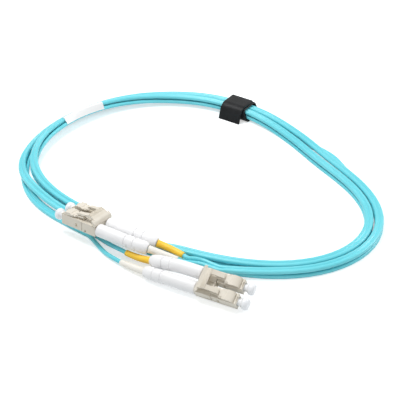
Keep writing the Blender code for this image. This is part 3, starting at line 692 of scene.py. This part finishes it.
def trigger(name):
    """The tab over both latches: two fingers, a ribbed back and a broad web to the clip."""
    ribs = []
    for i in range(5):
        u = 12.9 + i * 0.36
        w = 8.2 - (u - 11.9) * 0.24
        ribs += [(u, w), (u + 0.07, w + 0.12), (u + 0.17, w + 0.11), (u + 0.24, w - 0.08)]
    slab = [(7.3, 6.27), (10.2, 6.32), (11.4, 6.9), (13.4, 6.9), (15.4, 5.9), (16.1, 5.6)]
    slab += [(16.48, 6.2), (16.2, 6.6), (15.6, 7.05), (14.9, 7.44)] + ribs[::-1]
    slab += [(12.75, 8.0), (12.68, 7.72), (11.4, 7.42), (10.0, 7.2), (8.4, 7.06), (7.5, 6.78)]
    body = prism(name, slab, (-4.18, 4.18))
    web = [(15.4, 6.2), (16.2, 5.5), (16.6, 4.27), (17.28, 4.27), (17.22, 5.2), (16.5, 6.25)]
    web += [(15.7, 6.7)]
    half = CLIP_HALF - 0.02
    carve(
        body,
        ("UNION", prism(f"{name}_web", web, (-half, half))),
        ("DIFFERENCE", brick(f"{name}_fingers", (7.0, 13.3), (-2.3, 2.3), (6.0, 7.7))),
        ("DIFFERENCE", brick(f"{name}_split", (7.0, 12.6), (-2.3, 2.3), (6.0, 9.0))),
    )
    return soften(body, 0.11)


def clip(name):
    """The shell that holds both plugs side by side."""
    side = [(CLIP_START, 0.0), (CLIP_END, 0.0), (CLIP_END, CLIP_REAR_TOP), (15.4, HOUSING)]
    side += [(CLIP_START, HOUSING)]
    body = prism(name, side, (-CLIP_HALF, CLIP_HALF))
    tools = []
    for i, v in enumerate((-HALF, HALF)):
        bore = CLIP_BORE / 2
        socket = brick(
            f"{name}_socket_{i}", (CLIP_START - 1, NECK_END + GAP), (v - bore, v + bore),
            (AXIS_W - bore, AXIS_W + bore),
        )
        hole = [(0.0, NECK_END - 0.5), (1.3, NECK_END - 0.5), (1.3, CLIP_END + 1)]
        hole += [(0.0, CLIP_END + 1)]
        tools.append(("DIFFERENCE", socket))
        tools.append(("DIFFERENCE", drum(f"{name}_hole_{i}", hole, v, 24)))
    for i, edge in enumerate((-CLIP_HALF, CLIP_HALF)):
        mark = brick(f"{name}_mark_{i}", (11.9, 12.6), (edge - 0.5, edge + 0.5), (0.35, 1.15))
        tools.append(("DIFFERENCE", mark))
    groove = brick(f"{name}_groove", (CLIP_START - 1, 13.2), (-0.45, 0.45), (HOUSING - 0.5, 9))
    tools.append(("DIFFERENCE", groove))
    return soften(carve(body, *tools), 0.34)


def dust_cap(name, v):
    """The cap over the ferrule: a round head, a waist, and a neck in the housing's mouth."""
    outline = [
        (0.83, 2.9), (1.34, 2.9), (1.42, 2.8), (1.44, 0.4), (1.5, -0.6), (1.56, -0.95),
        (1.62, -1.2), (1.75, -1.5), (2.0, -1.75), (2.2, -1.9), (2.31, -2.05), (2.37, -2.3),
        (2.38, -2.65), (2.36, -3.1), (2.3, -3.45), (2.2, -3.7), (2.0, -3.92), (1.7, -4.06),
        (1.3, -4.14), (0.8, -4.18), (0.3, -4.2), (0.02, -4.2), (0.02, -1.95), (0.83, -1.95),
    ]
    steps = 48
    shape = bmesh.new()
    turns = [2 * pi * i / steps for i in range(steps)]
    rows = [[(u, v + r * cos(t), AXIS_W + r * sin(t)) for t in turns] for r, u in outline]
    rings_mesh(shape, rows, closed=True)
    bmesh.ops.remove_doubles(shape, verts=shape.verts, dist=4e-6)
    return mesh_piece(name, shape, sharp=50.0)


def connector(prefix, at, turn, bends, sleeves, flipped):
    heading, pitch, lean = (radians(t) for t in turn)
    place = Matrix.Rotation(heading, 4, "Z") @ Matrix.Rotation(-pitch, 4, "Y")
    place = place @ Matrix.Rotation(lean, 4, "X")
    place.translation = Vector(((at[0] + SHIFT_X) * MM, (at[1] + SHIFT_Y) * MM, at[2] * MM))
    sides = zip(("left", "right"), (-HALF, HALF), bends, sleeves, flipped)
    for side, v, bend, yellow, flip in sides:
        tag = f"{prefix}_{side}"
        made = housing(f"{tag}_plug_body", v)
        fit(made, "cord", BODY, [f"{prefix}_housing_{side}"], place)
        made = latch(f"{tag}_plug_latch", v)
        name = f"{prefix}_latch_{side}"
        fit(made, name, BODY, [name], place)
        line = bent_line(v, bend)
        made = lathe(f"{tag}_strain_relief", boot_outline(), line, 64, slot_dent(flip))
        fit(made, "cord", BOOT, [f"{prefix}_boot_{side}"], place)
        made = lathe(f"{tag}_colour_sleeve", sleeve_outline(), line, 48)
        look = SLEEVE_YELLOW if yellow else SLEEVE_IVORY
        fit(made, "cord", look, [f"{prefix}_id_sleeve_{side}"], place)
        made = dust_cap(f"{tag}_end_cap", v)
        name = f"{prefix}_dust_cap_{side}"
        fit(made, name, CAPS, [name], place)
        for node, look in (
            ("ferrule", FERRULE), ("ferrule_flange", METAL), ("spring", METAL),
            ("rear_body", METAL), ("crimp_sleeve", METAL), ("buffered_fibre", BUFFER),
        ):
            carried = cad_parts[f"{prefix}_{node}_{side}"]
            carried.data.materials.clear()
            carried.data.materials.append(look)
    made = clip(f"{prefix}_twin_clip")
    fit(made, "cord", BODY, [f"{prefix}_duplex_clip"], place)
    made = trigger(f"{prefix}_press_tab")
    fit(made, f"{prefix}_trigger", BODY, [f"{prefix}_trigger"], place)
    return place


# ---------------------------------------------------------------- strap and label


def strap_place():
    n = outward(STRAP_AT)
    at = outline_point(STRAP_AT)
    across = Vector((n[0], n[1], 0.0))
    up = Vector((0.0, 0.0, 1.0))
    place = Matrix((across, up, across.cross(up))).transposed().to_4x4()
    place.translation = Vector(((at[0] + SHIFT_X) * MM, (at[1] + SHIFT_Y) * MM, 0.0))
    return place


def rounded(width, height, radius, centre, steps):
    points = []
    for i, (sx, sy) in enumerate(((1, 1), (-1, 1), (-1, -1), (1, -1))):
        for step in range(steps + 1):
            turn = radians(90.0 * (i + step / steps))
            x = centre[0] + sx * (width / 2 - radius) + radius * cos(turn)
            y = centre[1] + sy * (height / 2 - radius) + radius * sin(turn)
            points.append((x, y))
    return points


def tape(name, inner, outer, closed, shear=(0.0, 0.0, 0.0)):
    """A band between two lines of (across, up) points, as wide as the strap, with rounded
    rims and a map of millimetres along and across it."""
    shift, slope, level = shear
    half = STRAP_WIDTH / 2
    rim = 0.16
    profile = [(1, -half + rim), (1, half - rim), (0.84, half), (0.16, half)]
    profile += [(0, half - rim), (0, -half + rim), (0.16, -half), (0.84, -half)]
    columns = 12
    wide = []
    for (f0, z0), (f1, z1) in zip(profile, profile[1:] + profile[:1]):
        pieces = columns if abs(z1 - z0) > 1 else 1
        for k in range(pieces):
            share = k / pieces
            wide.append((f0 + (f1 - f0) * share, z0 + (z1 - z0) * share))
    rings = []
    for (xi, yi), (xo, yo) in zip(inner, outer):
        ring = []
        for f, z in wide:
            x, y = xi + (xo - xi) * f, yi + (yo - yi) * f
            ring.append((x, y, z + shift + slope * (level - y)))
        rings.append(ring)
    shape = bmesh.new()
    rings_mesh(shape, rings, closed=closed)
    shape.verts.ensure_lookup_table()
    count = len(wide)
    run = [0.0]
    for a, b in zip(rings, rings[1:]):
        run.append(run[-1] + float(np.linalg.norm(np.array(b[0]) - np.array(a[0]))))
    layer = shape.loops.layers.uv.new("tape")
    for face in shape.faces:
        rows = [loop.vert.index // count for loop in face.loops]
        for loop, row in zip(face.loops, rows):
            loop[layer].uv = (run[row], loop.vert.co.z / MM)
    return mesh_piece(name, shape, sharp=50.0)


def build_strap():
    width = 2 * (COLUMN + CORD_W / 2 + STRAP_ROOM)
    height = 2 * LAYER + STRAND_D + 4 * GAP
    low = STRAP_THICK
    middle = (0.0, low + height / 2)
    outer = rounded(width + 2 * STRAP_THICK, height + 2 * STRAP_THICK, 1.8, middle, 8)
    inner = rounded(width, height, 1.1, middle, 8)
    wrap = tape("strap_ring", inner, outer, True, STRAP_LEAN)
    fit(wrap, "cord", TAPE, ["strap_wrap"], strap_place())

    near = -STRAP_BULGE
    top = low + height + STRAP_THICK + GAP
    bend = 4.0
    turn_end = radians(165.0)
    straight = int((STRAP_FOLD - near - bend) / TAPE_STEP)
    inside = [(STRAP_FOLD - TAPE_STEP * i, top) for i in range(straight)]
    for step in range(19):
        turn = radians(90.0 + 75.0 * step / 18)
        inside.append((near + bend + bend * cos(turn), top - bend + bend * sin(turn)))
    start = (near + bend + bend * cos(turn_end), top - bend + bend * sin(turn_end))
    for step in range(1, 9):
        share = step / 8
        inside.append((
            start[0] + (-STRAP_FOOT - start[0]) * share,
            start[1] * (1.0 - share),
        ))
    outside = []
    for i, (x, y) in enumerate(inside):
        before = inside[max(i - 1, 0)]
        after = inside[min(i + 1, len(inside) - 1)]
        run = (after[0] - before[0], after[1] - before[1])
        size = sqrt(run[0] ** 2 + run[1] ** 2)
        outside.append((x + run[1] / size * STRAP_THICK, y - run[0] / size * STRAP_THICK))
    outside[-1] = (-STRAP_FOOT - STRAP_THICK, 0.0)
    flap = tape("strap_flap", inside, outside, False)
    fit(flap, "strap_tail", TAPE, ["strap_tail"], strap_place())


def build_label():
    """A blank film over the bundle's inner side: round the upper cord's edge and down."""
    near = STRAND_D / 2 + LABEL_GAP
    turns = [radians(LABEL_FROM + (180.0 - LABEL_FROM) * k / 12) for k in range(13)]
    section = []
    for radius, order in ((near, 1), (near + LABEL_THICK, -1)):
        side = [(radius * cos(t) - STRAND_PITCH / 2, radius * sin(t)) for t in turns]
        side.append((-radius - STRAND_PITCH / 2, -LABEL_DROP / 2))
        side.append((-radius - STRAND_PITCH / 2, -LABEL_DROP))
        section += side[::order]
    rows = []
    for i in range(LABEL_ROWS + 1):
        travel = LABEL_AT + LABEL_SPAN * (i / LABEL_ROWS - 0.5)
        middle = cord_frame(travel)[0]
        across, top = cord_axes(travel)
        rows.append([middle + x * across + y * top for x, y in section])
    shape = bmesh.new()
    rings_mesh(shape, rows, closed=False)
    label = mesh_piece("blank_label", shape, sharp=50.0)
    fit(label, "cord", LABEL, ["label"])


# ---------------------------------------------------------------- camera, floor and light


def build_camera():
    data = bpy.data.cameras.new("view")
    data.lens = VIEW_LENS
    data.sensor_width = 36.0
    data.clip_start = 0.01
    camera = bpy.data.objects.new("view", data)
    SCENE.collection.objects.link(camera)
    target = Vector((SHIFT_X * MM, SHIFT_Y * MM, 0.0))
    rise = radians(VIEW_ELEVATION)
    camera.location = target + Vector((0.0, -cos(rise), sin(rise))) * VIEW_DISTANCE * MM
    camera.rotation_euler = (target - camera.location).to_track_quat("-Z", "Y").to_euler()
    SCENE.camera = camera


def seen_or_mirrored(nodes, links):
    """One where a ray comes from the camera, from gloss or through glass."""
    rays = nodes.new("ShaderNodeLightPath")
    first = nodes.new("ShaderNodeMath")
    first.operation = "MAXIMUM"
    links.new(rays.outputs["Is Camera Ray"], first.inputs[0])
    links.new(rays.outputs["Is Glossy Ray"], first.inputs[1])
    second = nodes.new("ShaderNodeMath")
    second.operation = "MAXIMUM"
    links.new(first.outputs["Value"], second.inputs[0])
    links.new(rays.outputs["Is Transmission Ray"], second.inputs[1])
    return second.outputs["Value"]


def build_floor():
    shape = bmesh.new()
    bmesh.ops.create_grid(shape, x_segments=1, y_segments=1, size=2.0)
    floor = mesh_piece("floor", shape, sharp=0.0)
    look = bpy.data.materials.new("pale_floor")
    look.use_nodes = True
    nodes, links = look.node_tree.nodes, look.node_tree.links
    nodes.remove(nodes["Principled BSDF"])
    matt = nodes.new("ShaderNodeBsdfDiffuse")
    matt.inputs["Color"].default_value = (0.78, 0.81, 0.82, 1.0)
    glow = nodes.new("ShaderNodeEmission")
    glow.inputs["Color"].default_value = (1.0, 1.0, 1.0, 1.0)
    seen = seen_or_mirrored(nodes, links)
    share = nodes.new("ShaderNodeMath")
    share.operation = "MULTIPLY"
    share.inputs[1].default_value = FLOOR_GLOW
    links.new(seen, share.inputs[0])
    links.new(share.outputs["Value"], glow.inputs["Strength"])
    both = nodes.new("ShaderNodeAddShader")
    links.new(matt.outputs["BSDF"], both.inputs[0])
    links.new(glow.outputs["Emission"], both.inputs[1])
    links.new(both.outputs["Shader"], nodes["Material Output"].inputs["Surface"])
    floor.data.materials.append(look)


def build_lights():
    world = bpy.data.worlds.new("studio")
    world.use_nodes = True
    SCENE.world = world
    nodes, links = world.node_tree.nodes, world.node_tree.links
    sky = nodes["Background"]
    sky.inputs["Color"].default_value = (1.0, 1.0, 1.0, 1.0)
    strength = nodes.new("ShaderNodeMapRange")
    strength.inputs["To Min"].default_value = WORLD_FILL
    strength.inputs["To Max"].default_value = 1.0
    links.new(seen_or_mirrored(nodes, links), strength.inputs["Value"])
    links.new(strength.outputs["Result"], sky.inputs["Strength"])
    for name, at, size, power in LAMPS:
        data = bpy.data.lights.new(name, "AREA")
        data.shape = "DISK"
        data.size = size
        data.energy = power
        lamp = bpy.data.objects.new(name, data)
        SCENE.collection.objects.link(lamp)
        lamp.location = at
        lamp.rotation_euler = (-Vector(at)).to_track_quat("-Z", "Y").to_euler()
    SCENE.view_settings.view_transform = "Standard"


# ---------------------------------------------------------------- the whole cord

build_camera()
build_zipcord()
PLACE_A = connector("a", A_AT, A_TURN, A_BENDS, (False, True), (False, False))
PLACE_B = connector("b", B_AT, B_TURN, B_BENDS, (True, False), (False, True))
build_leg("a_leg_left", PLACE_A, -HALF, A_BENDS[0], COIL_START, -1, 1, (0.0, -49.3, 3.3))
build_leg("a_leg_right", PLACE_A, HALF, A_BENDS[1], COIL_START, -1, -1, (0.0, -46.6, 3.3))
build_leg("b_leg_left", PLACE_B, -HALF, B_BENDS[0], COIL_END, 1, -1, (-35.9, -35.4, 2.4))
build_leg("b_leg_right", PLACE_B, HALF, B_BENDS[1], COIL_END, 1, 1, (-37.6, -39.3, 1.2))
build_strap()
build_label()
build_floor()
build_lights()
